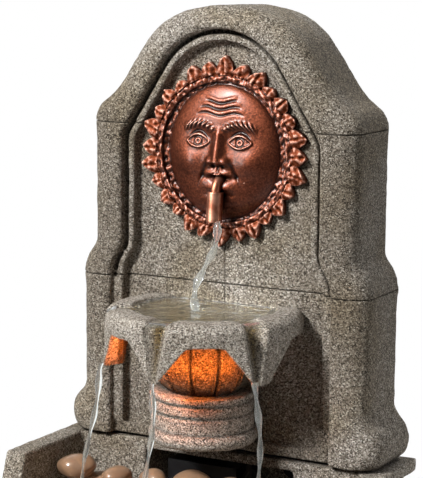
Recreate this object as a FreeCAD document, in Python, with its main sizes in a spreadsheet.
import FreeCAD, Part
import math
import os
import re

# Tabletop fountain: a cast-stone back wall with a sun mask stands on a basin with a pump under its deck.
# Frame: +Z up, X along the wall, -Y the front, origin under the middle of the basin on the table.

Vector = FreeCAD.Vector
UP = Vector(0, 0, 1)
ALONG_X = Vector(1, 0, 0)
ALONG_Y = Vector(0, 1, 0)
FRONT = Vector(0, -1, 0)

doc = FreeCAD.newDocument("fountain")
sheet = doc.addObject("Spreadsheet::Sheet", "sizes")

# Driving dimensions in millimetres, degrees and counts; heights on the wall start at its bottom.
SIZES = {
    # basin
    "base_width": 270, "base_depth": 206, "base_height": 68, "floor_height": 16,
    "lip_height": 10, "lip_overhang": 7, "rim_width": 17, "front_rim_height": 46,
    "arm_length": 135, "arm_slope_run": 8, "pier_depth": 58, "rear_thickness": 12,
    "chamber_width": 124, "deck_thickness": 7,
    "foot_height": 4, "foot_radius": 9, "foot_inset": 12,
    # cord inlet
    "grommet_radius": 6, "grommet_bore": 3, "grommet_flange": 2, "grommet_lip": 2,
    "grommet_offset": 40, "grommet_height": 50,
    # wall outline
    "wall_depth": 59, "back_ledge": 4, "upper_half": 108, "lower_half": 118, "foot_half": 130,
    "joint_low": 122, "joint_high": 237, "foot_belly_height": 13.5,
    "crown_turn": 14.5, "flank_turn": 56, "ear_turn": 34.5,
    "shoulder_radius": 61, "flank_length": 30, "flank_cove": 66, "ear_radius": 19.5,
    "ear_tuck": 6, "ear_blend": 140,
    "flare_cove": 15, "flare_belly": 29, "foot_cove": 14, "foot_belly": 20.5,
    "front_round": 15,
    # wall recess
    "border_width": 27, "crown_border": 17, "arch_radius": 58, "arch_turn": 58, "arch_bend": 14,
    "recess_depth": 14, "strip_depth": 6, "strip_gap": 3, "strip_width": 5,
    "border_round": 4,
    "sill_height": 8, "sill_depth": 8, "groove_width": 1.6, "groove_depth": 1.6,
    # wall cavity and fixings
    "panel_thickness": 6, "cavity_half": 78, "cavity_bottom": 14, "cavity_top": 230,
    "cover_ledge": 10, "cover_thickness": 3, "cover_gap": 0.3,
    "screw_radius": 1.8, "screw_head": 3.5, "screw_head_height": 1.8, "screw_length": 14,
    "gasket_thickness": 2, "gasket_inset": 13,
    "bolt_radius": 3, "bolt_head": 5.5, "bolt_head_height": 5, "bolt_grip": 22,
    "bolt_sink": 20, "bolt_clearance": 0.5,
    # sun mask
    "mask_height": 219, "ray_reach": 70, "ring_radius": 55, "ring_thickness": 5, "ring_inner": 51,
    "groove_floor": 2, "face_half_width": 46, "face_half_height": 49.5, "face_rise": 12,
    "ray_count": 28, "ray_width": 11, "ray_thickness": 4, "ray_root": 2, "short_ray": 3, "ray_trim": 5,
    "eye_spacing": 17, "eye_height": 8, "mouth_height": 200, "stud_radius": 2, "stud_length": 5,
    "stud_spacing": 30,
    # spout and hose
    "tube_radius": 3.5, "tube_bore": 2.5, "spout_reach": 14, "spout_bend": 9, "spout_tilt": 5,
    "spout_drop": 17, "sleeve_radius": 5.8, "sleeve_length": 22, "sleeve_grip": 8, "sleeve_bore": 4.6,
    "tail_drop": 22, "hose_radius": 5.5, "hose_setback": 14, "hose_clearance": 1.5, "spout_relief": 0.5,
    "clip_height": 8, "clip_wall": 3, "clip_level": 150,
    # bowl
    "bowl_offset": 30, "rim_height": 110, "tip_height": 66, "rim_radius": 72, "tip_apothem": 65,
    "rim_round": 8, "skirt_thickness": 6, "pan_radius": 53, "pan_depth": 10, "pan_floor": 5,
    "notch_radius": 10, "notch_depth": 6, "channel_tip": 3.5, "arch_top": 93.5, "arch_top_half": 13,
    "arch_corner": 8, "leg_half": 2.2, "side_setback": 15,
    # cup and corbel
    "cup_bottom": 49.5, "cup_foot": 26, "cup_belly": 40, "cup_belly_height": 76, "lobe_count": 12,
    "lobe_groove": 2, "corbel_bottom": 12, "corbel_radius": 37, "corbel_torus": 5.5, "corbel_bulge": 3,
    "corbel_ring": 1.5, "ring_top": 5.7, "ring_step": 8.7,
    "bowl_bolt_radius": 2.5, "bowl_bolt_head": 5, "bowl_bolt_grip": 18, "bowl_bolt_spacing": 18,
    "bowl_bolt_level": 28,
    # lamp
    "lamp_radius": 4.5, "lamp_length": 11, "lamp_level": 79, "lamp_seat": 8, "lens_length": 3,
    "lead_radius": 1.4, "lead_clearance": 0.4, "lead_bend": 6, "lead_side": 30,
    # pump
    "pump_length": 52, "pump_width": 36, "pump_height": 33, "pump_wall": 2, "pump_front": 8,
    "pump_setback": 3, "cup_height": 5, "cup_radius": 5, "cup_neck": 3, "cup_inset": 7,
    "cap_thickness": 2, "volute_radius": 12.5, "volute_depth": 14, "well_radius": 8.5, "well_length": 25,
    "well_wall": 1.5, "magnet_radius": 7.5, "magnet_length": 18, "stem_radius": 3, "impeller_radius": 11,
    "vane_count": 6, "vane_thickness": 1.4, "vane_height": 7, "disc_thickness": 1.5,
    "shaft_radius": 1.25, "running_gap": 0.05, "bush_radius": 2.6, "bush_length": 2.5, "end_play": 0.3,
    "cover_plate": 4, "intake_radius": 2, "intake_circle": 8.5, "intake_count": 6,
    "dial_radius": 12, "dial_thickness": 2.5, "dial_boss": 3.5, "dial_gap": 0.3, "dial_head": 4.5,
    "dial_head_thickness": 1, "dial_tab": 4, "spigot_length": 12, "core_length": 18, "core_gap": 0.3,
    # pebbles
    "pebble_radius": 15.6, "pebble_flat": 0.66, "pebble_gap": 0.3,
}

for row, (alias, size) in enumerate(SIZES.items(), start=1):
    sheet.set(f"A{row}", alias)
    sheet.set(f"B{row}", str(size))
    sheet.setAlias(f"B{row}", alias)
doc.recompute()

# Places that several pieces share, as formulas on the sheet.
BACK = "base_depth/2"
WALL_BACK = f"({BACK} - back_ledge)"
WALL_FRONT = f"({WALL_BACK} - wall_depth)"
PANEL = f"({WALL_FRONT} + recess_depth)"
CAVITY = f"({PANEL} + panel_thickness)"
WALL_BOTTOM = "(base_height + gasket_thickness)"
PIER = f"({BACK} - pier_depth)"
ARM_FRONT = f"({BACK} - arm_length)"
DECK_UNDER = "(base_height - deck_thickness)"
BOLT_X = "((cavity_half + lower_half)/2)"
BOLT_Y = f"({WALL_FRONT} + wall_depth*0.6)"
HOSE_Y = f"({CAVITY} + hose_setback)"
MASK_Z = f"({WALL_BOTTOM} + mask_height)"
SPOUT_Z = f"({WALL_BOTTOM} + mouth_height)"
BOWL_Y = f"({PANEL} - bowl_offset)"
RIM_Z = f"({WALL_BOTTOM} + rim_height)"
TIP_Z = f"({WALL_BOTTOM} + tip_height)"
PAN_UNDER = f"({RIM_Z} - pan_depth - pan_floor)"
BOWL_BOLT_Z = f"({WALL_BOTTOM} + bowl_bolt_level)"
LAMP_Z = f"({WALL_BOTTOM} + lamp_level)"
PUMP_Y = f"({BACK} - rear_thickness - pump_setback - pump_width/2)"
PUMP_BOTTOM = "(floor_height + cup_height)"
PUMP_TOP = f"({PUMP_BOTTOM} + pump_height)"
PUMP_Z = f"({PUMP_BOTTOM} + pump_height/2)"
PUMP_REAR = "(pump_front - pump_length)"
LAMP_REACH = "(tip_apothem - skirt_thickness + lamp_seat)"
LEAD_REACH = f"({LAMP_REACH} - lamp_length/2)"
LEAD_Y = f"({CAVITY} + lead_bend)"
LEAD_Z = f"({PAN_UNDER} - lead_radius - lead_clearance)"
VOLUTE_FLOOR = "(pump_front - volute_depth)"
WELL_END = f"({VOLUTE_FLOOR} - well_length)"
COVER_FRONT = "(pump_front + cover_plate)"
DIAL_FRONT = f"({COVER_FRONT} + dial_gap + dial_thickness)"
PUMP_SIDES = (f"{PUMP_Y} - pump_width/2", f"{PUMP_Y} + pump_width/2")
POCKET_SIDES = (f"{PUMP_SIDES[0]} + pump_wall", f"{PUMP_SIDES[1]} - pump_wall")

nodes = []


def mm(formula):
    """Value of a formula of sheet sizes."""
    return float(sheet.evalExpression(formula))


def linked(formula):
    """Formula as other objects read it, with each size taken from the sheet."""
    return re.sub(r"\b[a-z_]+\b", lambda word: f"sizes.{word[0]}" if word[0] in SIZES else word[0], formula)


def bind(piece, formulas):
    for prop, formula in formulas.items():
        piece.setExpression(prop, linked(formula))
    return piece


def place(piece, at, axis=UP):
    """Puts the piece's own origin at a formula point, with its Z along the axis."""
    piece.Placement.Rotation = FreeCAD.Rotation(UP, axis)
    return bind(piece, {f"Placement.Base.{name}": formula for name, formula in zip("xyz", at)})


def box(name, x, y, z):
    """Box between two formulas along each axis."""
    piece = doc.addObject("Part::Box", name)
    spans = {"Length": x, "Width": y, "Height": z}
    bind(piece, {prop: f"({high}) - ({low})" for prop, (low, high) in spans.items()})
    return place(piece, (x[0], y[0], z[0]))


def rod(name, radius, length, at, axis=UP):
    piece = doc.addObject("Part::Cylinder", name)
    bind(piece, {"Radius": radius, "Height": length})
    return place(piece, at, axis)


def taper(name, radius, end_radius, length, at, axis=UP):
    piece = doc.addObject("Part::Cone", name)
    bind(piece, {"Radius1": radius, "Radius2": end_radius, "Height": length})
    return place(piece, at, axis)


def fuse(name, pieces):
    piece = doc.addObject("Part::MultiFuse", name)
    piece.Shapes = pieces
    piece.Refine = True
    return piece


def cut(name, base, tools):
    piece = doc.addObject("Part::Cut", name)
    piece.Base = base
    piece.Tool = tools[0] if len(tools) == 1 else fuse(f"{name}_tools", tools)
    piece.Refine = True
    return piece


def group(name, pieces):
    piece = doc.addObject("Part::Compound", name)
    piece.Links = pieces
    return piece


def feature(name, shape):
    piece = doc.addObject("Part::Feature", name)
    piece.Shape = shape
    piece.Placement = FreeCAD.Placement()
    return piece


def node(label, piece):
    """Marks a finished sub-part; its label names its file."""
    piece.Label = label
    nodes.append(piece)


def walk(start, heading, moves):
    """Edges and end of a smooth path in the XZ plane; a move is (length, 0) or an arc (radius, turn)."""
    x, z = start
    edges = []
    for size, turn in moves:
        begin = Vector(x, 0, z)
        if turn == 0:
            x += size * math.cos(math.radians(heading))
            z += size * math.sin(math.radians(heading))
            if size > 1e-6:
                edges.append(Part.makeLine(begin, Vector(x, 0, z)))
            continue
        side = math.copysign(90, turn)
        centre_x = x + size * math.cos(math.radians(heading + side))
        centre_z = z + size * math.sin(math.radians(heading + side))
        points = [begin]
        for part in (0.5, 1):
            angle = math.radians(heading - side + turn * part)
            points.append(Vector(centre_x + size * math.cos(angle), 0, centre_z + size * math.sin(angle)))
        edges.append(Part.Arc(*points).toShape())
        x, z = points[2].x, points[2].z
        heading += turn
    return edges, Vector(x, 0, z)


def mirrored_face(edges, end):
    """Face inside a half outline from the middle line to its end, its mirror image and a level base line."""
    other = [edge.mirror(Vector(), ALONG_X) for edge in edges]
    base = Part.makeLine(end, Vector(-end.x, 0, end.z))
    return Part.Face(Part.Wire(Part.__sortEdges__(edges + other + [base])))


def bend_angle(shift, radii):
    """Turn in degrees of an S made of two arcs whose radii add up to radii, for a sideways shift."""
    return math.degrees(math.acos(1 - shift / radii))


def prism(face, front, back):
    """Face of the XZ plane drawn out between two Y values."""
    return face.translated(Vector(0, front, 0)).extrude(Vector(0, back - front, 0))


def blob(centre, half_sizes):
    """Ellipsoid at a point with half sizes along X, Y and Z."""
    scale = FreeCAD.Matrix()
    scale.scale(*half_sizes)
    return Part.makeSphere(1).transformGeometry(scale).translated(centre)


def route(points, radius):
    """Wire along straight runs with a tangent arc of one radius at each inner point."""
    edges = []
    start = points[0]
    for before, corner, after in zip(points, points[1:], points[2:]):
        incoming = (corner - before).normalize()
        outgoing = (after - corner).normalize()
        half_turn = incoming.getAngle(outgoing) / 2
        reach = radius * math.tan(half_turn)
        inward = (outgoing - incoming).normalize()
        sagitta = radius / math.cos(half_turn) - radius
        arc_start = corner - incoming * reach
        arc_end = corner + outgoing * reach
        edges.append(Part.makeLine(start, arc_start))
        edges.append(Part.Arc(arc_start, corner + inward * sagitta, arc_end).toShape())
        start = arc_end
    edges.append(Part.makeLine(start, points[-1]))
    return Part.Wire(edges)


def pipe(path, radius):
    """Round solid along a wire; its volume must be its section times its length."""
    start = path.Edges[0].valueAt(path.Edges[0].FirstParameter)
    ahead = path.Edges[0].tangentAt(path.Edges[0].FirstParameter)
    circle = Part.Wire(Part.makeCircle(radius, start, ahead))
    solid = path.makePipeShell([circle], True, False)
    expected = math.pi * radius ** 2 * path.Length
    if abs(solid.Volume - expected) > expected * 0.01:
        raise ValueError("a tube's volume differs from its section times its length")
    return solid


def revolve(profile, centre_y):
    """Solid turned about an upright line from (radius, height) points; a step of two points is an arc."""
    edges = []
    for step in profile[1:]:
        start = Vector(profile[0][0], 0, profile[0][1]) if not edges else edges[-1].Vertexes[-1].Point
        points = [start] + [Vector(radius, 0, height) for radius, height in step]
        edges.append(Part.makeLine(*points) if len(points) == 2 else Part.Arc(*points).toShape())
    return Part.Face(Part.Wire(edges)).revolve(Vector(), UP, 360).translated(Vector(0, centre_y, 0))


def wedge(name, x, y, front_z, back_z):
    """Block between two formulas along X and Y whose top and bottom lean from front to back."""
    piece = doc.addObject("Part::Wedge", name)
    bind(piece, {"Xmin": x[0], "Xmax": x[1], "X2min": x[0], "X2max": x[1], "Ymin": y[0], "Ymax": y[1]})
    return bind(piece, {"Zmin": front_z[0], "Zmax": front_z[1], "Z2min": back_z[0], "Z2max": back_z[1]})


# Basin: a tray with a lower front rim, two high side arms, and piers that carry a deck over the pump.
def make_basin():
    lip_x = ("-base_width/2", "base_width/2")
    body_x = ("-base_width/2 + lip_overhang", "base_width/2 - lip_overhang")
    slope_y = (f"{ARM_FRONT} - arm_slope_run", ARM_FRONT)
    lip_under = "base_height - lip_height"
    front_under = "front_rim_height - lip_height"
    outside = fuse("basin_outside", [
        box("rear_lip", lip_x, (ARM_FRONT, BACK), (lip_under, "base_height")),
        wedge("arm_slope", lip_x, slope_y, (front_under, "front_rim_height"), (lip_under, "base_height")),
        box("front_lip", lip_x, ("-base_depth/2", slope_y[0]), (front_under, "front_rim_height")),
        box("rear_body", body_x, (ARM_FRONT, f"{BACK} - lip_overhang"), ("foot_height", lip_under)),
        wedge("slope_body", body_x, slope_y, ("foot_height", front_under), ("foot_height", lip_under)),
        box("front_body", body_x, ("-base_depth/2 + lip_overhang", slope_y[0]), ("foot_height", front_under)),
    ])
    pool_x = ("-base_width/2 + rim_width", "base_width/2 - rim_width")
    above = "base_height + lip_height"
    chamber_y = (f"{PIER} - rim_width", f"{BACK} - rear_thickness")
    lead_at = ("-lead_side", LEAD_Y, DECK_UNDER)
    tools = [
        box("pool", pool_x, ("-base_depth/2 + rim_width", PIER), ("floor_height", above)),
        box("chamber", ("-chamber_width/2", "chamber_width/2"), chamber_y, ("floor_height", DECK_UNDER)),
        rod("deck_hose_hole", "hose_radius + hose_clearance", "deck_thickness*2", ("0", HOSE_Y, DECK_UNDER)),
        rod("deck_lead_hole", "lead_radius + lead_clearance", "deck_thickness*2", lead_at),
        rod("cord_hole", "grommet_radius", "rear_thickness*2",
            ("grommet_offset", f"{BACK} - rear_thickness*2", "grommet_height"), ALONG_Y),
    ]
    sink_top = "foot_height + bolt_sink"
    for side, name in (("-", "left"), ("", "right")):
        at = (f"{side}{BOLT_X}", BOLT_Y, "0")
        tools.append(rod(f"basin_bolt_hole_{name}", "bolt_radius + bolt_clearance", above, at))
        tools.append(rod(f"basin_bolt_sink_{name}", "bolt_head + bolt_clearance", sink_top, at))
    node("basin", cut("basin", outside, tools))


# Rubber feet under the basin's corners.
def make_feet():
    feet = []
    for name, x_side, y_side in (("a", "-", "-"), ("b", "", "-"), ("c", "-", ""), ("d", "", "")):
        x = f"{x_side}(base_width/2 - lip_overhang - foot_inset)"
        y = f"{y_side}(base_depth/2 - lip_overhang - foot_inset)"
        feet.append(rod(f"foot_{name}", "foot_radius", "foot_height", (x, y, "0")))
    node("basin_feet", group("basin_feet", feet))


# Grommet in the chamber's rear wall, where the supply cord comes in.
def make_grommet():
    start = f"{BACK} - rear_thickness - grommet_flange"
    thickness = "(rear_thickness - lip_overhang)"
    at = ("grommet_offset", start, "grommet_height")
    outer = (at[0], f"{BACK} - lip_overhang", at[2])
    body = fuse("grommet_body", [
        rod("grommet_neck", "grommet_radius", f"{thickness} + grommet_flange*2", at, ALONG_Y),
        rod("grommet_inner_flange", "grommet_radius + grommet_lip", "grommet_flange", at, ALONG_Y),
        rod("grommet_outer_flange", "grommet_radius + grommet_lip", "grommet_flange", outer, ALONG_Y),
    ])
    bore = rod("grommet_hole", "grommet_bore", "rear_thickness*2", at, ALONG_Y)
    node("cord_grommet", cut("cord_grommet", body, [bore]))


# Gasket that beds the wall on the deck and leaves the dark joint line.
def make_gasket():
    half = "(lower_half - gasket_inset)"
    sides = (f"{WALL_FRONT} + gasket_inset", f"{WALL_BACK} - gasket_inset")
    plate = box("gasket_plate", (f"-{half}", half), sides, ("base_height", WALL_BOTTOM))
    below = "base_height - gasket_thickness"
    through = "gasket_thickness*3"
    tools = [
        rod("gasket_hose_hole", "hose_radius + hose_clearance", through, ("0", HOSE_Y, below)),
        rod("gasket_lead_hole", "lead_radius + lead_clearance", through, ("-lead_side", LEAD_Y, below)),
    ]
    for side, name in (("-", "left"), ("", "right")):
        at = (f"{side}{BOLT_X}", BOLT_Y, below)
        tools.append(rod(f"gasket_bolt_hole_{name}", "bolt_radius + bolt_clearance", through, at))
    node("wall_gasket", cut("wall_gasket", plate, tools))


def ear_bulge(radius):
    """How far a course's rounded corner stands out beyond the side under it, and the height it takes."""
    tuck, radii = math.radians(mm("ear_tuck")), mm(f"{radius} + ear_blend")
    return radii * (1 - math.cos(tuck)), radii * math.sin(tuck)


def flare(bulge):
    """Turn and height of the S that widens the wall's side between its upper and lower course."""
    radii = mm("flare_cove + flare_belly")
    turn = bend_angle(mm("lower_half - upper_half") + bulge, radii)
    return turn, radii * math.sin(math.radians(turn))


def wall_crown():
    """Radius of the crown's arc and the height of its top above the wall's bottom."""
    crown, flank, ear = (math.radians(mm(name)) for name in ("crown_turn", "flank_turn", "ear_turn"))
    shoulder, length, cove, ear_radius = (
        mm(name) for name in ("shoulder_radius", "flank_length", "flank_cove", "ear_radius"))
    across = shoulder * (math.sin(flank) - math.sin(crown)) + length * math.cos(flank)
    across += cove * (math.sin(flank) - math.sin(ear)) + ear_radius * (1 - math.sin(ear))
    radius = (mm("upper_half") + ear_bulge("ear_radius")[0] - across) / math.sin(crown)
    drop = radius * (1 - math.cos(crown)) + shoulder * (math.cos(crown) - math.cos(flank))
    drop += length * math.sin(flank) + cove * (math.cos(ear) - math.cos(flank)) + ear_radius * math.cos(ear)
    return radius, mm("joint_high") + drop


def wall_face():
    """Outline of the wall: crown, shoulder, flank, cove and ear, then the flare and the foot's belly."""
    radius, top = wall_crown()
    crown, flank, ear, tuck = mm("crown_turn"), mm("flank_turn"), mm("ear_turn"), mm("ear_tuck")
    lower_bulge, lower_rise = ear_bulge("flare_belly")
    turn, flare_rise = flare(lower_bulge)
    foot = bend_angle(mm("foot_half - lower_half"), mm("foot_cove + foot_belly"))
    foot_rise = mm("foot_belly_height") + mm("foot_cove + foot_belly") * math.sin(math.radians(foot))
    foot_tuck = math.degrees(math.asin(mm("foot_belly_height / foot_belly")))
    upper_side = mm("joint_high - joint_low") - ear_bulge("ear_radius")[1] - flare_rise
    moves = [(radius, -crown), (mm("shoulder_radius"), crown - flank), (mm("flank_length"), 0),
             (mm("flank_cove"), flank - ear), (mm("ear_radius"), ear - 90 - tuck), (mm("ear_blend"), tuck),
             (upper_side, 0), (mm("flare_cove"), turn), (mm("flare_belly"), -turn - tuck),
             (mm("ear_blend"), tuck), (mm("joint_low") - lower_rise - foot_rise, 0),
             (mm("foot_cove"), foot), (mm("foot_belly"), -foot - foot_tuck)]
    return mirrored_face(*walk((0, top), 0, moves))


def recess_face(inset):
    """Outline of the recess inside the border, drawn in by an inset: arch, straight flanks and flare."""
    turn = mm("arch_turn")
    half = mm("upper_half - border_width") - inset
    top = wall_crown()[1] - mm("crown_border") - inset
    radius, bend = mm("arch_radius") - inset, mm("arch_bend")
    lean = math.radians(turn)
    flank = (half - radius * math.sin(lean) - bend * (1 - math.sin(lean))) / math.cos(lean)
    spring = top - radius * (1 - math.cos(lean)) - flank * math.sin(lean) - bend * math.cos(lean)
    widening, flare_rise = flare(0)
    side = spring - mm("joint_low") - flare_rise
    moves = [(radius, -turn), (flank, 0), (bend, turn - 90), (side, 0),
             (mm("flare_cove"), widening), (mm("flare_belly"), -widening), (mm("joint_low - sill_height"), 0)]
    return mirrored_face(*walk((0, top), 0, moves))


def edges_along(solid, face, y):
    """Edges of a solid that run along a face's outline at one Y, apart from its base line."""
    outline = face.translated(Vector(0, y, 0))
    base = outline.BoundBox.ZMin
    chosen = []
    for edge in solid.Edges:
        middle = edge.valueAt((edge.FirstParameter + edge.LastParameter) / 2)
        if abs(middle.y - y) < 0.01 and middle.z > base + 0.01:
            if outline.OuterWire.distToShape(Part.Vertex(middle))[0] < 0.01:
                chosen.append(edge)
    return chosen


def groove_round(level, half):
    """Tool for a joint line that runs round the wall's front and sides at one height."""
    front, back = mm(WALL_FRONT), mm(WALL_BACK)
    depth, width = mm("groove_depth"), mm("groove_width")
    slab = Part.makeBox(half * 4, back - front, width, Vector(-half * 2, front - depth, level - width / 2))
    face = front + depth
    corner = Vector(depth - half, face, level - width)
    core = Part.makeBox((half - depth) * 2, back - front, width * 2, corner)
    corners = [edge for edge in core.Edges
               if edge.BoundBox.YMax < face + 0.01 and edge.BoundBox.XLength < 0.01]
    return slab.cut(core.makeFillet(mm("front_round") - depth, corners))


def wall_grooves():
    """Tools for the joint lines: two level ones right across and one upright on the panel."""
    panel, strip = mm(PANEL), mm(f"{WALL_FRONT} + strip_depth")
    depth, width = mm("groove_depth"), mm("groove_width")
    tools = []
    courses = (("joint_low", "lower_half", "flare_belly"), ("joint_high", "upper_half", "ear_radius"))
    for level, half, corner in courses:
        height = mm(level)
        tools.append(groove_round(height, mm(half) + ear_bulge(corner)[0]))
        inner = mm(f"{half} - border_width")
        for y in (panel, strip):
            tools.append(Part.makeBox(inner * 2, depth, width, Vector(-inner, y, height - width / 2)))
    upright = wall_crown()[1] - mm("crown_border + strip_gap + strip_width + sill_height")
    tools.append(Part.makeBox(width, depth, upright, Vector(-width / 2, panel, mm("sill_height"))))
    return tools


def cover_screw_places():
    """X and Z formulas of the rear cover's screws, on the middle of the ledge."""
    low, high = "(cavity_bottom - cover_ledge/2)", "(cavity_top + cover_ledge/2)"
    heights = (low, f"(({low} + {high})/2)", high)
    return [(f"{side}(cavity_half + cover_ledge/2)", f"{WALL_BOTTOM} + {height}")
            for side in ("-", "") for height in heights]


def drill(radius, length, x, y, z, axis=ALONG_Y):
    """Tool for a round hole, from formulas for its radius, length and start."""
    return Part.makeCylinder(mm(radius), mm(length), Vector(mm(x), mm(y), mm(z)), axis)


def wall_fittings():
    """Tools for the cavity, the cover's ledge and every hole in the wall, at their places above the table."""
    bottom, back = mm(WALL_BOTTOM), mm(WALL_BACK)
    low, high = mm("cavity_bottom"), mm("cavity_top")
    half, ledge = mm("cavity_half"), mm("cover_ledge")
    cavity, cover = mm(CAVITY), mm("cover_thickness")
    cover_corner = Vector(-half - ledge, back - cover, bottom + low - ledge)
    through, ahead = "panel_thickness*3", f"{PANEL} - panel_thickness"
    below = f"{WALL_BOTTOM} - cavity_bottom/2"
    tools = [
        Part.makeBox(half * 2, back - cavity + cover, high - low, Vector(-half, cavity, bottom + low)),
        Part.makeBox((half + ledge) * 2, cover * 2, high - low + ledge * 2, cover_corner),
        drill("hose_radius + hose_clearance", "cavity_bottom*2", "0", HOSE_Y, below, UP),
        drill("lead_radius + lead_clearance", "cavity_bottom*2", "-lead_side", LEAD_Y, below, UP),
        drill("tube_radius", through, "0", ahead, SPOUT_Z),
        drill("lead_radius + lead_clearance", through, "0", ahead, LEAD_Z),
    ]
    for side in ("-", ""):
        tools.append(drill("bolt_radius", "bolt_grip", f"{side}{BOLT_X}", BOLT_Y, WALL_BOTTOM, UP))
        tools.append(drill("stud_radius", "stud_length", f"{side}stud_spacing", PANEL, MASK_Z))
        tools.append(drill("bowl_bolt_radius", through, f"{side}bowl_bolt_spacing", ahead, BOWL_BOLT_Z))
    for x, z in cover_screw_places():
        tools.append(drill("screw_radius", "screw_length", x, f"{WALL_BACK} - screw_length", z))
    return tools


# Back wall: one hollow casting with a rounded border, a bead strip, a recessed panel and a sill.
def make_back_wall():
    front = mm(WALL_FRONT)
    outline = wall_face()
    wall = prism(outline, front, mm(WALL_BACK))
    wall = wall.makeFillet(mm("front_round"), edges_along(wall, outline, front))
    half = mm("lower_half - border_width")
    depth = mm("sill_depth")
    sill = Part.makeBox(half * 2, depth * 2, mm("sill_height"), Vector(-half, front - depth, 0))
    border, strip = recess_face(0), recess_face(mm("strip_gap"))
    panel = recess_face(mm("strip_gap + strip_width"))
    strip_front = front + mm("strip_depth")
    gap = prism(border, front, mm(PANEL)).cut(prism(strip, front, mm(PANEL)))
    wall = wall.cut([sill, prism(border, front, strip_front), prism(panel, front, mm(PANEL)), gap])
    wall = wall.makeFillet(mm("border_round"), edges_along(wall, border, front))
    wall = wall.cut(wall_grooves()).translated(Vector(0, 0, mm(WALL_BOTTOM)))
    node("back_wall", feature("back_wall", wall.cut(wall_fittings())))


# Two long bolts that come up through the piers and hold the wall down.
def make_wall_bolts():
    bolts = []
    seat = "(foot_height + bolt_sink)"
    length = f"{WALL_BOTTOM} + bolt_grip - {seat}"
    under = f"{seat} - bolt_head_height"
    for side, name in (("-", "left"), ("", "right")):
        x = f"{side}{BOLT_X}"
        shank = rod(f"wall_bolt_shank_{name}", "bolt_radius", length, (x, BOLT_Y, seat))
        head = rod(f"wall_bolt_head_{name}", "bolt_head", "bolt_head_height", (x, BOLT_Y, under))
        bolts.append(fuse(f"wall_bolt_{name}", [shank, head]))
    node("wall_bolts", group("wall_bolts", bolts))


# Rear cover: a flat plate let into the wall's back over the hose cavity.
def make_rear_cover():
    half = "(cavity_half + cover_ledge - cover_gap)"
    low = f"{WALL_BOTTOM} + cavity_bottom - cover_ledge + cover_gap"
    high = f"{WALL_BOTTOM} + cavity_top + cover_ledge - cover_gap"
    plate = box("cover_sheet", (f"-{half}", half), (f"{WALL_BACK} - cover_thickness", WALL_BACK), (low, high))
    start = f"{WALL_BACK} - cover_thickness*1.5"
    holes = [rod(f"cover_hole_{index}", "screw_radius", "cover_thickness*2", (x, start, z), ALONG_Y)
             for index, (x, z) in enumerate(cover_screw_places())]
    node("rear_cover", cut("rear_cover", plate, holes))


# Pan-head screws of the rear cover.
def make_cover_screws():
    screws = []
    start = f"{WALL_BACK} - screw_length"
    for index, (x, z) in enumerate(cover_screw_places()):
        shank = rod(f"cover_shank_{index}", "screw_radius", "screw_length", (x, start, z), ALONG_Y)
        head = rod(f"cover_head_{index}", "screw_head", "screw_head_height", (x, WALL_BACK, z), ALONG_Y)
        screws.append(fuse(f"cover_screw_{index}", [shank, head]))
    node("cover_screws", group("cover_screws", screws))


def spout_corner():
    """Where the spout tube turns down in front of the lips, and the way it then points."""
    tilt = math.radians(mm("spout_tilt"))
    return Vector(0, mm(f"{PANEL} - spout_reach"), mm(SPOUT_Z)), Vector(0, -math.sin(tilt), -math.cos(tilt))


def spout_path():
    """Wire along the middle of the spout tube, from its tail in the cavity to its end in the sleeve."""
    corner, down = spout_corner()
    rear = Vector(0, mm(HOSE_Y), mm(SPOUT_Z))
    points = [rear - UP * mm("tail_drop"), rear, corner, corner + down * mm("spout_drop")]
    return route(points, mm("spout_bend"))


def spout_relief():
    """Room in the mask for the spout tube and its sleeve."""
    corner, down = spout_corner()
    top = corner + down * (mm("spout_drop - sleeve_grip") - mm("spout_relief"))
    sleeve = Part.makeCylinder(mm("sleeve_radius + spout_relief"), mm("sleeve_length*2"), top, down)
    return [pipe(spout_path(), mm("tube_radius + spout_relief")), sleeve]


def face_point(x, z, lift=0):
    """Point on the mask's domed face at an offset from its middle, lifted off the surface."""
    depth = 1 - (x / mm("face_half_width")) ** 2 - (z / mm("face_half_height")) ** 2
    return Vector(x, mm(PANEL) - mm("face_rise") * math.sqrt(depth) - lift, mm(MASK_Z) + z)


def mask_rays():
    """Flame-shaped rays round the ring, every other one a little shorter, and shorter on the diagonals."""
    count = int(mm("ray_count"))
    half, root = mm("ray_width")/2, mm("ring_radius - ray_root")
    rays = []
    for index in range(count):
        turn = 360 / count * index
        reach = mm("ray_reach") - mm("short_ray") * (index % 2)
        reach -= mm("ray_trim") * math.sin(math.radians(turn * 2)) ** 2
        middle = (root + reach) / 2
        left, right, tip = Vector(-half, 0, root), Vector(half, 0, root), Vector(half / 3, 0, reach)
        rim = [Part.makeLine(left, right),
               Part.Arc(right, Vector(half, 0, middle), tip).toShape(),
               Part.Arc(tip, Vector(-half * 0.7, 0, middle), left).toShape()]
        ray = Part.Face(Part.Wire(rim)).extrude(FRONT * mm("ray_thickness"))
        rays.append(ray.rotated(Vector(), ALONG_Y, turn))
    return [ray.translated(Vector(0, mm(PANEL), mm(MASK_Z))) for ray in rays]


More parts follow.
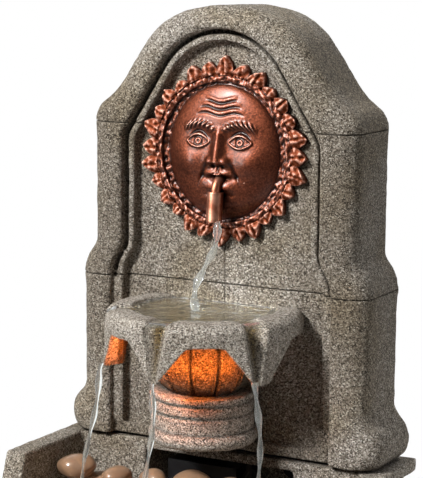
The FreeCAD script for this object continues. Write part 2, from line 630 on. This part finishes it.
def mask_features():
    """Brows, eyes, nose, cheeks, lips and chin as rounded swellings on the dome."""
    eye_x, eye_z = mm("eye_spacing"), mm("eye_height")
    mouth = mm("mouth_height - mask_height")
    unit = mm("face_half_width") / 10
    swellings = [blob(face_point(0, eye_z - unit * 2, unit * 0.3), (unit, unit * 0.9, unit * 2.6)),
                 blob(face_point(0, mouth + unit * 2.4, unit * 0.4), (unit * 1.6, unit * 0.9, unit * 0.9)),
                 blob(face_point(0, mouth + unit * 1.1), (unit * 2.4, unit * 0.6, unit * 0.6)),
                 blob(face_point(0, mouth - unit * 1.2), (unit * 2, unit * 0.6, unit * 0.6)),
                 blob(face_point(0, mouth - unit * 4.6), (unit * 1.8, unit * 0.6, unit))]
    for side in (-1, 1):
        eye, brow = face_point(side * eye_x, eye_z), face_point(side * eye_x, eye_z + unit * 2.3)
        cheek = face_point(side * eye_x * 1.1, mouth + unit * 1.4)
        swellings.append(blob(eye, (unit * 1.7, unit * 0.5, unit * 0.9)))
        swellings.append(blob(brow, (unit * 2.2, unit * 0.5, unit * 0.5)))
        swellings.append(blob(cheek, (unit * 1.8, unit * 0.5, unit * 1.8)))
    return swellings


# Sun mask: a domed face in a grooved ring of rays, with the spout's hole through its parted lips.
def make_sun_mask():
    middle = Vector(0, mm(PANEL), mm(MASK_Z))
    plate = Part.makeCylinder(mm("ring_radius"), mm("ring_thickness"), middle, FRONT)
    floor = middle + FRONT * mm("groove_floor")
    groove = Part.makeCylinder(mm("ring_inner"), mm("ring_thickness"), floor, FRONT)
    dome = blob(middle, (mm("face_half_width"), mm("face_rise"), mm("face_half_height")))
    mask = plate.cut(groove).multiFuse([dome, *mask_rays(), *mask_features()])
    reach = mm("ray_reach") * 2
    behind = Part.makeBox(reach * 2, reach, reach * 2, middle + Vector(-reach, 0, -reach))
    unit = mm("face_half_width") / 10
    mouth = blob(face_point(0, mm("mouth_height - mask_height")), (unit * 2, unit * 1.4, unit * 0.8))
    node("sun_mask", feature("sun_mask", mask.cut([behind, mouth, *spout_relief()]).removeSplitter()))


# Two studs that hold the mask to the panel.
def make_mask_studs():
    studs = []
    for side, name in (("-", "left"), ("", "right")):
        at = (f"{side}stud_spacing", PANEL, MASK_Z)
        studs.append(rod(f"mask_stud_{name}", "stud_radius", "stud_length", at, ALONG_Y))
    node("mask_studs", group("mask_studs", studs))


# Spout tube: from the hose in the cavity through the wall and the lips, then down.
def make_spout_tube():
    path = spout_path()
    node("spout_tube", feature("spout_tube", pipe(path, mm("tube_radius")).cut(pipe(path, mm("tube_bore")))))


# Spout sleeve: a wider nozzle pushed on the end of the spout tube.
def make_spout_sleeve():
    corner, down = spout_corner()
    grip, length = mm("sleeve_grip"), mm("sleeve_length")
    top = corner + down * (mm("spout_drop") - grip)
    sleeve = Part.makeCylinder(mm("sleeve_radius"), length, top, down)
    seat = Part.makeCylinder(mm("tube_radius"), grip, top, down)
    nozzle = Part.makeCylinder(mm("sleeve_bore"), length, top + down * grip, down)
    node("spout_sleeve", feature("spout_sleeve", sleeve.cut([seat, nozzle])))


# Delivery hose: straight up from the pump to the spout tube's tail.
def make_hose():
    at = ("0", HOSE_Y, PUMP_TOP)
    length = f"{SPOUT_Z} - spout_bend - hose_clearance - {PUMP_TOP}"
    outside = rod("hose_outside", "hose_radius", length, at)
    node("delivery_hose", cut("delivery_hose", outside, [rod("hose_bore", "tube_radius", length, at)]))


# Clip that holds the hose to the back of the panel.
def make_hose_clip():
    half = "(hose_radius + clip_wall)"
    middle = f"({WALL_BOTTOM} + clip_level)"
    span = (f"{middle} - clip_height/2", f"{middle} + clip_height/2")
    block = box("clip_block", (f"-{half}", half), (CAVITY, f"{HOSE_Y} + hose_radius*0.6"), span)
    mouth = ("-hose_radius*0.85", "hose_radius*0.85")
    slot = box("clip_slot", mouth, (HOSE_Y, f"{HOSE_Y} + hose_radius*2"), span)
    seat = rod("clip_seat", "hose_radius", "clip_height", ("0", HOSE_Y, span[0]))
    node("hose_clip", cut("hose_clip", block, [slot, seat]))


def spoke(angle, radius, z):
    """Point at a radius from the bowl's axis, at an angle from the front toward the right."""
    turn = math.radians(angle)
    return Vector(radius * math.sin(turn), mm(BOWL_Y) - radius * math.cos(turn), z)


def behind_panel():
    """Block behind the panel's face, which cuts whatever stands against the wall."""
    size = mm("base_width")
    return Part.makeBox(size, size, size * 2, Vector(-size / 2, mm(PANEL), 0))


def bowl_channel(angle):
    """Tool for one pouring channel: a notch through the rim and a groove that narrows down its leg."""
    top = spoke(angle, mm("rim_radius"), mm(RIM_Z))
    tip = spoke(angle, mm("tip_apothem") / math.cos(math.radians(30)), mm(TIP_Z))
    radius = mm("notch_radius")
    inner = spoke(angle, mm("pan_radius") - radius, mm(f"{RIM_Z} - notch_depth") + radius)
    notch = Part.makeCylinder(radius, mm("rim_radius"), inner, spoke(angle, 1, 0) - spoke(angle, 0, 0))
    groove = Part.makeCone(radius, mm("channel_tip"), (tip - top).Length, top, tip - top)
    return notch.fuse(groove)


def bowl_arch(angle, setback):
    """Tool for the arched opening under one flap, wide between the tips and set back in Y by some length."""
    low, high = mm(TIP_Z) - 1, mm(f"{WALL_BOTTOM} + arch_top")
    wide = mm("tip_apothem") * math.tan(math.radians(30)) - mm("leg_half")
    narrow = mm("arch_top_half")
    start = mm("cup_foot")
    corners = [(-wide, low), (wide, low), (narrow, high), (-narrow, high), (-wide, low)]
    face = Part.Face(Part.makePolygon([Vector(x, -start, z) for x, z in corners]))
    tool = face.extrude(FRONT * mm("tip_apothem*1.5"))
    ridges = [edge for edge in tool.Edges
              if edge.BoundBox.ZMin > high - 0.01 and edge.BoundBox.XLength < 0.01]
    tool = tool.makeFillet(mm("arch_corner"), ridges)
    return tool.rotated(Vector(), UP, angle).translated(Vector(0, mm(BOWL_Y) + setback, 0))


def bowl_block():
    """Outside of the bowl: a skirt from a six-sided foot to a round shoulder, under a rounded rim."""
    shoulder, radius, curve = mm(f"{RIM_Z} - rim_round"), mm("rim_radius"), mm("rim_round")
    corner = mm("tip_apothem") / math.cos(math.radians(30))
    foot = Part.makePolygon([spoke(60 * side, corner, mm(TIP_Z)) for side in range(7)])
    arcs = []
    for side in range(6):
        points = [spoke(60 * side + turn, radius, shoulder) for turn in (0, 30, 60)]
        arcs.append(Part.Arc(*points).toShape())
    skirt = Part.makeLoft([foot, Part.Wire(arcs)], True, True)
    middle = math.sqrt(0.5) * curve
    bend = [(radius - curve + middle, shoulder + middle), (radius - curve, mm(RIM_Z))]
    rim = revolve([(0, shoulder), [(radius, shoulder)], bend, [(0, mm(RIM_Z))], [(0, shoulder)]], mm(BOWL_Y))
    return skirt.fuse(rim)


# Bowl: a round-rimmed dish whose skirt hangs down in flaps, with a pouring channel down each leg.
def make_bowl():
    inside = (mm("tip_apothem - skirt_thickness"), mm("rim_radius - rim_round - skirt_thickness"))
    hollow = Part.makeCone(*inside, mm(PAN_UNDER) - mm(TIP_Z), spoke(0, 0, mm(TIP_Z)))
    pan = Part.makeCone(mm("pan_radius - pan_depth/2"), mm("pan_radius"), mm("pan_depth"),
                        spoke(0, 0, mm(f"{RIM_Z} - pan_depth")))
    channels = [bowl_channel(angle) for angle in (-60, 0, 60)]
    arches = [bowl_arch(angle, 0) for angle in (-30, 30)]
    arches += [bowl_arch(angle, mm("side_setback")) for angle in (-90, 90)]
    seat_depth, seat = mm(LAMP_REACH), mm("lamp_radius")
    lamp_seat = Part.makeCylinder(seat, seat_depth, spoke(0, 0, mm(LAMP_Z)), FRONT)
    slot_half = mm("lead_radius + lead_clearance")
    slot = Part.makeBox(slot_half * 2, mm(LEAD_REACH) + slot_half, mm(f"{PAN_UNDER} - {LAMP_Z}"),
                        spoke(0, mm(LEAD_REACH) + slot_half, mm(LAMP_Z)) - ALONG_X * slot_half)
    reach, gap_corner = mm("tip_apothem*2"), spoke(0, 0, mm(TIP_Z))
    wall_gap = Part.makeBox(reach * 2, reach, mm("arch_top - tip_height"), gap_corner - ALONG_X * reach)
    bowl = bowl_block().cut([hollow, pan, lamp_seat, slot, wall_gap, behind_panel(), *channels, *arches])
    node("bowl", feature("bowl", bowl.removeSplitter()))


def cup_solid(inset):
    """Turned body of the cup, with its side drawn in by an inset."""
    bottom, belly = mm(f"{WALL_BOTTOM} + cup_bottom"), mm(f"{WALL_BOTTOM} + cup_belly_height")
    top = mm(PAN_UNDER)
    foot, wide = mm("cup_foot") - inset, mm("cup_belly") - inset
    bulge = (foot + (wide - foot) * 0.7, bottom + (belly - bottom) * 0.4)
    profile = [(0, bottom), [(foot, bottom)], [bulge, (wide, belly)], [(wide, top)], [(0, top)],
               [(0, bottom)]]
    return revolve(profile, mm(BOWL_Y))


# Ribbed cup: a melon-shaped body under the bowl, parted into lobes by upright grooves.
def make_cup():
    cup = cup_solid(0)
    width, reach, height = mm("lobe_groove"), mm("cup_belly*2"), mm("rim_height")
    slab = Part.makeBox(reach * 2, width, height, Vector(-reach, -width / 2, 0))
    count = int(mm("lobe_count")) // 2
    foot = spoke(0, 0, mm(WALL_BOTTOM))
    core = cup_solid(width)
    grooves = []
    for index in range(count):
        blade = slab.rotated(Vector(), UP, 180 / count * (index + 0.5)).translated(foot)
        grooves.append(blade.cut(core))
    half = mm("lead_radius + lead_clearance")
    lead_start = Vector(-half, mm(BOWL_Y) - reach, mm(LEAD_Z) - half)
    lead_way = Part.makeBox(half * 2, reach * 2, half * 2, lead_start)
    node("ribbed_cup", feature("ribbed_cup", cup.cut([*grooves, lead_way, behind_panel()]).removeSplitter()))


# Corbel: the ringed round bracket that carries the cup in front of the wall.
def make_corbel():
    bottom, top = mm(f"{WALL_BOTTOM} + corbel_bottom"), mm(f"{WALL_BOTTOM} + cup_bottom")
    radius, torus = mm("corbel_radius"), mm("corbel_torus")
    ring, bulge = mm("corbel_ring"), mm("corbel_bulge")
    neck = bottom + torus * 2
    belly = (radius + bulge, bottom + torus)
    profile = [(0, bottom), [(radius - ring, bottom)], [belly, (radius - ring, neck)],
               [(radius, neck + ring)], [(radius, top)], [(0, top)], [(0, bottom)]]
    body = revolve(profile, mm(BOWL_Y))
    levels = [top - mm("ring_top"), top - mm("ring_top + ring_step")]
    rings = [Part.makeTorus(radius, ring, spoke(0, 0, level), UP) for level in levels]
    bolts = []
    for side in ("-", ""):
        x = f"{side}bowl_bolt_spacing"
        bolts.append(drill("bowl_bolt_radius", "bowl_bolt_grip", x, PANEL, BOWL_BOLT_Z, FRONT))
    node("corbel", feature("corbel", body.cut([*rings, *bolts, behind_panel()]).removeSplitter()))


# Bolts from the cavity through the panel into the corbel.
def make_bowl_bolts():
    bolts = []
    length, tip = "panel_thickness + bowl_bolt_grip", f"{PANEL} - bowl_bolt_grip"
    for side, name in (("-", "left"), ("", "right")):
        x = f"{side}bowl_bolt_spacing"
        shank = rod(f"bowl_bolt_shank_{name}", "bowl_bolt_radius", length, (x, tip, BOWL_BOLT_Z), ALONG_Y)
        seat = (x, CAVITY, BOWL_BOLT_Z)
        head = rod(f"bowl_bolt_head_{name}", "bowl_bolt_head", "bowl_bolt_radius*1.4", seat, ALONG_Y)
        bolts.append(fuse(f"bowl_bolt_{name}", [shank, head]))
    node("bowl_bolts", group("bowl_bolts", bolts))


# Lamp: a sealed housing set into the centre leg, with a domed amber lens that faces the cup.
def make_lamp():
    rear = f"{BOWL_Y} - {LAMP_REACH}"
    node("lamp_housing", rod("lamp_housing", "lamp_radius", "lamp_length", ("0", rear, LAMP_Z), ALONG_Y))
    front = Vector(0, mm(f"{rear} + lamp_length"), mm(LAMP_Z))
    radius, length = mm("lamp_radius"), mm("lens_length")
    lens = blob(front, (radius, length, radius))
    corner = front - Vector(radius * 2, length * 2, radius * 2)
    rest = Part.makeBox(radius * 4, length * 2, radius * 4, corner)
    node("lamp_lens", feature("lamp_lens", lens.cut(rest)))


# Lamp lead: up the leg, back under the pan, through the wall, then down the cavity to the pump.
def make_lead():
    side, y, z = -mm("lead_side"), mm(LEAD_Y), mm(LEAD_Z)
    front = mm(BOWL_Y) - mm(LEAD_REACH)
    points = [Vector(0, front, mm(f"{LAMP_Z} + lamp_radius")), Vector(0, front, z), Vector(0, y, z),
              Vector(side, y, z), Vector(side, y, mm(PUMP_TOP))]
    node("lamp_lead", feature("lamp_lead", pipe(route(points, mm("lead_bend")), mm("lead_radius"))))


def axle(name, radius, start, end):
    """Rod on the pump's axis between two X formulas."""
    return rod(name, radius, f"({end}) - ({start})", (start, PUMP_Y, PUMP_Z), ALONG_X)


# Pump body: a case with a dry stator pocket behind, a wet rotor well, a volute and an outlet spigot.
def make_pump_body():
    case = box("pump_case", (PUMP_REAR, "pump_front"), PUMP_SIDES, (PUMP_BOTTOM, PUMP_TOP))
    pocket = box("stator_pocket", (PUMP_REAR, f"{VOLUTE_FLOOR} - pump_wall"), POCKET_SIDES,
                 (f"{PUMP_BOTTOM} + pump_wall", f"{PUMP_TOP} - pump_wall"))
    well_start = f"{WELL_END} - bush_length - well_wall"
    well = axle("rotor_well", "well_radius + well_wall", well_start, VOLUTE_FLOOR)
    spigot_at = ("0", HOSE_Y, f"{PUMP_TOP} - pump_wall")
    spigot = rod("outlet_spigot", "tube_radius", "spigot_length + pump_wall", spigot_at)
    body = fuse("pump_shell", [cut("pump_case_hollow", case, [pocket]), well, spigot])
    tools = [
        axle("volute", "volute_radius", VOLUTE_FLOOR, "pump_front + pump_wall"),
        axle("well_bore", "well_radius", WELL_END, VOLUTE_FLOOR),
        axle("rear_bush_seat", "bush_radius", f"{WELL_END} - bush_length", WELL_END),
        rod("outlet_bore", "tube_bore", "pump_height/2 + spigot_length*2", ("0", HOSE_Y, PUMP_Z)),
    ]
    node("pump_body", cut("pump_body", body, tools))


# Cap that closes the stator pocket.
def make_pump_cap():
    cap = box("pump_cap", (f"{PUMP_REAR} - cap_thickness", PUMP_REAR), PUMP_SIDES, (PUMP_BOTTOM, PUMP_TOP))
    node("pump_cap", cap)


# Stator core round the rotor well.
def make_stator():
    start = f"({WELL_END} + well_length/2 - core_length/2)"
    sides = (f"{POCKET_SIDES[0]} + core_gap", f"{POCKET_SIDES[1]} - core_gap")
    block = box("core_block", (start, f"{start} + core_length"), sides,
                (f"{PUMP_BOTTOM} + pump_wall + core_gap", f"{PUMP_TOP} - pump_wall - core_gap"))
    bore = "well_radius + well_wall + core_gap"
    hole = axle("core_hole", bore, f"{start} - core_length", f"{start} + core_length*2")
    node("stator_core", cut("stator_core", block, [hole]))


def intake_holes(name, start, end):
    """Rods for the ring of intake holes between two X formulas."""
    count = int(mm("intake_count"))
    holes = []
    for index in range(count):
        angle = 360 / count * index
        at = (start, f"{PUMP_Y} + intake_circle*cos({angle})", f"{PUMP_Z} + intake_circle*sin({angle})")
        holes.append(rod(f"{name}_{index}", "intake_radius", f"({end}) - ({start})", at, ALONG_X))
    return holes


# Volute cover: closes the pump's front, carries the front bush and the flow dial's boss.
def make_pump_cover():
    plate = box("cover_plate_block", ("pump_front", COVER_FRONT), PUMP_SIDES, (PUMP_BOTTOM, PUMP_TOP))
    boss_end = f"{DIAL_FRONT} + dial_gap"
    boss = axle("dial_boss", "dial_boss", COVER_FRONT, boss_end)
    head = axle("dial_head", "dial_head", boss_end, f"{boss_end} + dial_head_thickness")
    seat = axle("front_bush_seat", "bush_radius", "pump_front", "pump_front + bush_length")
    holes = intake_holes("cover_intake", "pump_front - cover_plate", f"{COVER_FRONT} + cover_plate")
    node("pump_cover", cut("pump_cover", fuse("cover_with_boss", [plate, boss, head]), [seat, *holes]))


# Flow dial: a disc with the same ring of holes, which turns on the cover's boss to throttle the intake.
def make_flow_dial():
    start = f"({COVER_FRONT} + dial_gap)"
    disc = axle("dial_disc", "dial_radius", start, DIAL_FRONT)
    tab = box("dial_grip", (start, DIAL_FRONT), (f"{PUMP_Y} - dial_tab/2", f"{PUMP_Y} + dial_tab/2"),
              (f"{PUMP_Z} + dial_radius - dial_tab/2", f"{PUMP_Z} + dial_radius + dial_tab"))
    bore = axle("dial_bore", "dial_boss + running_gap", COVER_FRONT, f"{DIAL_FRONT} + dial_gap")
    holes = intake_holes("dial_intake", COVER_FRONT, f"{DIAL_FRONT} + dial_gap")
    node("flow_dial", cut("flow_dial", fuse("dial_with_grip", [disc, tab]), [bore, *holes]))


# Shaft and its two bushes, fixed in the well's end and in the cover.
def make_shaft():
    start, end = f"{WELL_END} - bush_length", "pump_front + bush_length"
    node("pump_shaft", axle("pump_shaft", "shaft_radius", start, end))
    bushes = []
    for name, low, high in (("rear", start, WELL_END), ("front", "pump_front", end)):
        ring = axle(f"bush_{name}_ring", "bush_radius", low, high)
        bushes.append(cut(f"bush_{name}", ring, [axle(f"bush_{name}_bore", "shaft_radius", low, high)]))
    node("shaft_bushes", group("shaft_bushes", bushes))


# Impeller: a stem on the shaft with a disc and straight vanes in the volute.
def make_impeller():
    start, end = f"({WELL_END} + end_play)", "(pump_front - end_play)"
    disc_start = f"({VOLUTE_FLOOR} + disc_thickness)"
    vane_start = f"({disc_start} + disc_thickness)"
    pieces = [axle("impeller_stem", "stem_radius", start, end),
              axle("impeller_disc", "impeller_radius", disc_start, vane_start)]
    count = int(mm("vane_count"))
    along, across_x = (vane_start, f"{vane_start} + vane_height"), ("-impeller_radius", "impeller_radius")
    for index in range(count // 2):
        vane = box(f"vane_{index}", along, across_x, ("-vane_thickness/2", "vane_thickness/2"))
        turn = FreeCAD.Rotation(ALONG_X, 360 / count * index)
        across, upward = turn.multVec(ALONG_Y), turn.multVec(UP)
        vane.Placement.Rotation = turn
        shift = [f"-impeller_radius*({across[axis]}) - vane_thickness/2*({upward[axis]})" for axis in (1, 2)]
        bind(vane, {"Placement.Base.y": f"{PUMP_Y} + {shift[0]}"})
        bind(vane, {"Placement.Base.z": f"{PUMP_Z} + {shift[1]}"})
        pieces.append(vane)
    bore = axle("impeller_bore", "shaft_radius + running_gap", start, end)
    node("impeller", cut("impeller", fuse("impeller_body", pieces), [bore]))


# Ring magnet pressed on the impeller's stem.
def make_magnet():
    start = f"({WELL_END} + well_length/2 - magnet_length/2)"
    ring = axle("magnet_ring", "magnet_radius", start, f"{start} + magnet_length")
    bore = axle("magnet_bore", "stem_radius", start, f"{start} + magnet_length")
    node("rotor_magnet", cut("rotor_magnet", ring, [bore]))


# Suction cups under the pump's corners.
def make_suction_cups():
    cups = []
    for name, x in (("front", "pump_front - cup_inset"), ("rear", f"{PUMP_REAR} + cup_inset")):
        for side in ("-", "+"):
            y = f"{PUMP_Y} {side} (pump_width/2 - cup_inset)"
            label = f"suction_cup_{name}_{'left' if side == '-' else 'right'}"
            cups.append(taper(label, "cup_radius", "cup_neck", "cup_height", (x, y, "floor_height")))
    node("suction_cups", group("suction_cups", cups))


def pebble_places():
    """Plan points of the pebbles: staggered rows, a layer over their rear hollows and a crest at the back."""
    spacing = mm("pebble_radius + pebble_gap")
    half = mm("base_width/2 - rim_width") - spacing
    back, front = mm(PIER) - spacing, mm("rim_width - base_depth/2") + spacing
    columns = int(half / spacing) + 1
    rows = int((back - front) / spacing / math.sqrt(3)) + 1
    pitch, row_pitch = half * 2 / (columns - 1), (back - front) / (rows - 1)
    bottom, hollows, crest = [], [], []
    for row in range(rows):
        for column in range(columns - row % 2):
            x, y = -half + pitch * (column + row % 2 / 2), back - row_pitch * row
            bottom.append((x, y))
            if column and row < rows - 2:
                hollows.append((x - pitch / 2, y - row_pitch / 3))
            if row == 0:
                crest.append((x, y - row_pitch * 2 / 3))
    return bottom + hollows + crest


def pebble(index, place):
    """Plan place, half sizes and turn of one pebble, which vary in slow waves over its number."""
    radius = mm("pebble_radius") * (0.94 + 0.06 * math.sin(index * 2.4))
    narrow = 0.84 + 0.16 * math.cos(index * 1.7)
    flat = mm("pebble_flat") * (0.93 + 0.07 * math.sin(index * 3.1))
    return {"x": place[0], "y": place[1], "long": radius, "wide": radius * narrow, "tall": radius * flat,
            "turn": index * 50}


def half_height(stone, x, y):
    """Half of a pebble's thickness over a plan point, or 0 outside it."""
    turn = math.radians(stone["turn"])
    ahead, aside = x - stone["x"], y - stone["y"]
    along = (ahead * math.cos(turn) + aside * math.sin(turn)) / stone["long"]
    across = (aside * math.cos(turn) - ahead * math.sin(turn)) / stone["wide"]
    return stone["tall"] * math.sqrt(max(1 - along ** 2 - across ** 2, 0))


def rest_height(stone, below):
    """Height of a pebble's middle when it lies on the floor or on the pebbles below it."""
    level = mm("floor_height") + stone["tall"]
    steps = 12
    for column in range(-steps, steps + 1):
        for row in range(-steps, steps + 1):
            x, y = stone["x"] + stone["long"] * column / steps, stone["y"] + stone["long"] * row / steps
            own = half_height(stone, x, y)
            tops = [other["z"] + half_height(other, x, y) for other in below if half_height(other, x, y)]
            if own and tops:
                level = max(level, max(tops) + own)
    return level + mm("pebble_gap")


# Pebbles: loose polished stones, each lying on the basin's floor or on the stones under it.
def make_pebbles():
    stones, solids = [], []
    for index, place in enumerate(pebble_places()):
        stone = pebble(index, place)
        stone["z"] = rest_height(stone, stones)
        stones.append(stone)
        solid = blob(Vector(), (stone["long"], stone["wide"], stone["tall"]))
        solid.rotate(Vector(), UP, stone["turn"])
        solids.append(solid.translated(Vector(stone["x"], stone["y"], stone["z"])))
    node("pebbles", feature("pebbles", Part.makeCompound(solids)))


for make in (
    make_basin, make_feet, make_grommet, make_gasket, make_back_wall, make_wall_bolts, make_rear_cover,
    make_cover_screws, make_sun_mask, make_mask_studs, make_spout_tube, make_spout_sleeve, make_hose,
    make_hose_clip, make_bowl, make_cup, make_corbel, make_bowl_bolts, make_lamp, make_lead,
    make_pump_body, make_pump_cap, make_stator, make_pump_cover, make_flow_dial, make_shaft,
    make_impeller, make_magnet, make_suction_cups, make_pebbles,
):
    make()
doc.recompute()

for piece in doc.Objects:
    if "Invalid" in piece.State or "Error" in piece.State:
        raise RuntimeError(f"{piece.Name} failed")
for piece in nodes:
    if piece.Shape.isNull() or not piece.Shape.isValid():
        raise RuntimeError(f"{piece.Label} has no valid shape")

os.makedirs("parts", exist_ok=True)
for piece in nodes:
    piece.Shape.exportStep(f"parts/{piece.Label}.step")
    bounds = piece.Shape.optimalBoundingBox(False)
    print(piece.Label, len(piece.Shape.Solids), round(piece.Shape.Volume), bounds)
